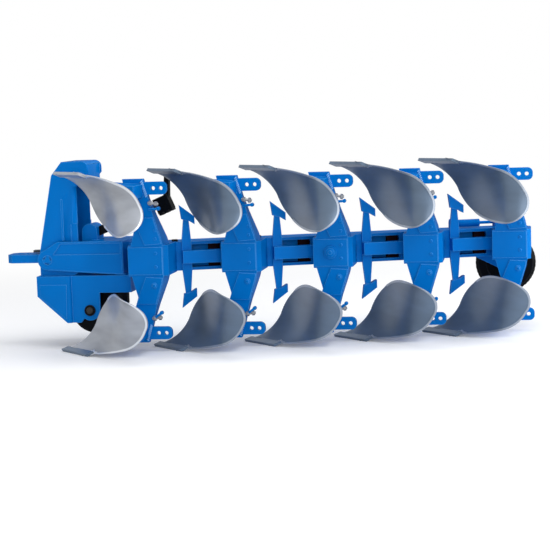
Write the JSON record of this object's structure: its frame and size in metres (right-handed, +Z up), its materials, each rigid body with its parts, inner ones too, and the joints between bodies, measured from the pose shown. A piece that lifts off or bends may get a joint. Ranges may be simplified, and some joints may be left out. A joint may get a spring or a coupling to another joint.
{
  "type": "toy reversible mouldboard plough",
  "caption": "Toy mounted reversible plough: paired curved bodies above and below an oblique beam that turns over on its headstock, with support wheels.",
  "frame": {"origin": "centre of the eye in the hitch tongue, on the turnover axis", "axes": "+X rearward along the turnover axis, +Y to the land side, +Z up along the hitch eye"},
  "size_m": [0.441, 0.2484, 0.155],
  "materials": {
    "blue_plastic": "smooth glossy moulded blue plastic",
    "silver_coat": "satin silver coating on plastic",
    "black_plastic": "black moulded plastic",
    "dark_plastic": "dark grey moulded plastic"
  },
  "bodies": {
    "headstock": {"hitch_tongue": "blue_plastic", "hitch_latch": "dark_plastic", "tower": "blue_plastic", "axle_housing": "blue_plastic", "turning_arm": "blue_plastic", "arm_pin": "blue_plastic", "turnover_lever": "black_plastic"},
    "front_wheels": {"front_axle": "black_plastic", "front_wheels": "black_plastic"},
    "rear_wheel_arm": {"wheel_arm": "blue_plastic"},
    "rear_wheel": {"rear_wheel": "black_plastic"},
    "plough_frame": {"beam_end_cap": "blue_plastic", "centre_cap": "blue_plastic", "dummy_cylinder": "blue_plastic", "leg_1": "blue_plastic", "leg_2": "blue_plastic", "leg_3": "blue_plastic", "leg_4": "blue_plastic", "leg_5": "blue_plastic", "main_beam": "blue_plastic", "mouldboard_lower_1": "silver_coat", "mouldboard_lower_2": "silver_coat", "mouldboard_lower_3": "silver_coat", "mouldboard_lower_4": "silver_coat", "mouldboard_lower_5": "silver_coat", "mouldboard_upper_1": "silver_coat", "mouldboard_upper_2": "silver_coat", "mouldboard_upper_3": "silver_coat", "mouldboard_upper_4": "silver_coat", "mouldboard_upper_5": "silver_coat", "share_lower_1": "silver_coat", "share_lower_2": "silver_coat", "share_lower_3": "silver_coat", "share_lower_4": "silver_coat", "share_lower_5": "silver_coat", "share_upper_1": "silver_coat", "share_upper_2": "silver_coat", "share_upper_3": "silver_coat", "share_upper_4": "silver_coat", "share_upper_5": "silver_coat", "skimmer_2": "blue_plastic", "skimmer_3": "blue_plastic", "skimmer_4": "blue_plastic", "skimmer_5": "blue_plastic", "turning_head": "blue_plastic"}
  },
  "joints": [
    {"name": "turnover", "type": "hinge", "parent": "headstock", "child": "plough_frame", "pos_m": [0.0763, 0, 0], "axis": [1, 0, 0], "range_deg": [0, 180]},
    {"name": "front_wheels_spin", "type": "hinge", "parent": "headstock", "child": "front_wheels", "pos_m": [0.0602, 0, -0.0423], "axis": [0, 1, 0], "continuous": true},
    {"name": "rear_wheel_swing", "type": "hinge", "parent": "plough_frame", "child": "rear_wheel_arm", "pos_m": [0.359, 0.107, 0], "axis": [0, -1, 0], "range_deg": [0, 56]},
    {"name": "rear_wheel_spin", "type": "hinge", "parent": "rear_wheel_arm", "child": "rear_wheel", "pos_m": [0.4, 0.116, -0.022], "axis": [0, 1, 0], "continuous": true}
  ]
}
